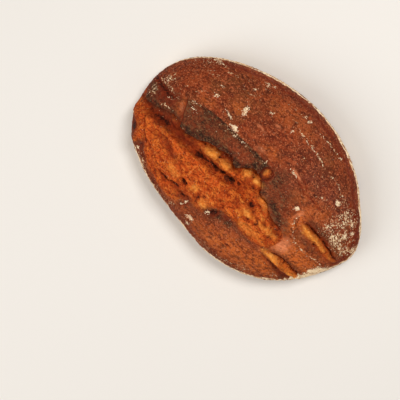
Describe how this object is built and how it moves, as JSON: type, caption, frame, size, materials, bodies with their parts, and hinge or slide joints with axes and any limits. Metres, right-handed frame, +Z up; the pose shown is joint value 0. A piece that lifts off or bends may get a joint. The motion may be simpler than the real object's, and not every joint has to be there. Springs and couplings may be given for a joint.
{
  "type": "oval hearth loaf",
  "caption": "Oval free-form country loaf with a dark blistered crust, a flat floured base and a long torn slash whose edge curls up as a charred ear.",
  "frame": {"origin": "middle of the loaf's bounding box in plan, on the surface that the flat base rests on", "axes": "+X along the loaf towards its narrower tip with the two short slashes, +Y across it towards the unslashed side, +Z up"},
  "size_m": [0.29, 0.197, 0.0838],
  "materials": {
    "crust": "dark baked rye and wheat crust, matt, with torn crumb and flour",
    "flour": "loose flour, toasted cream, dead matt"
  },
  "bodies": {
    "root": {"loaf": "crust"}
  },
  "joints": []
}
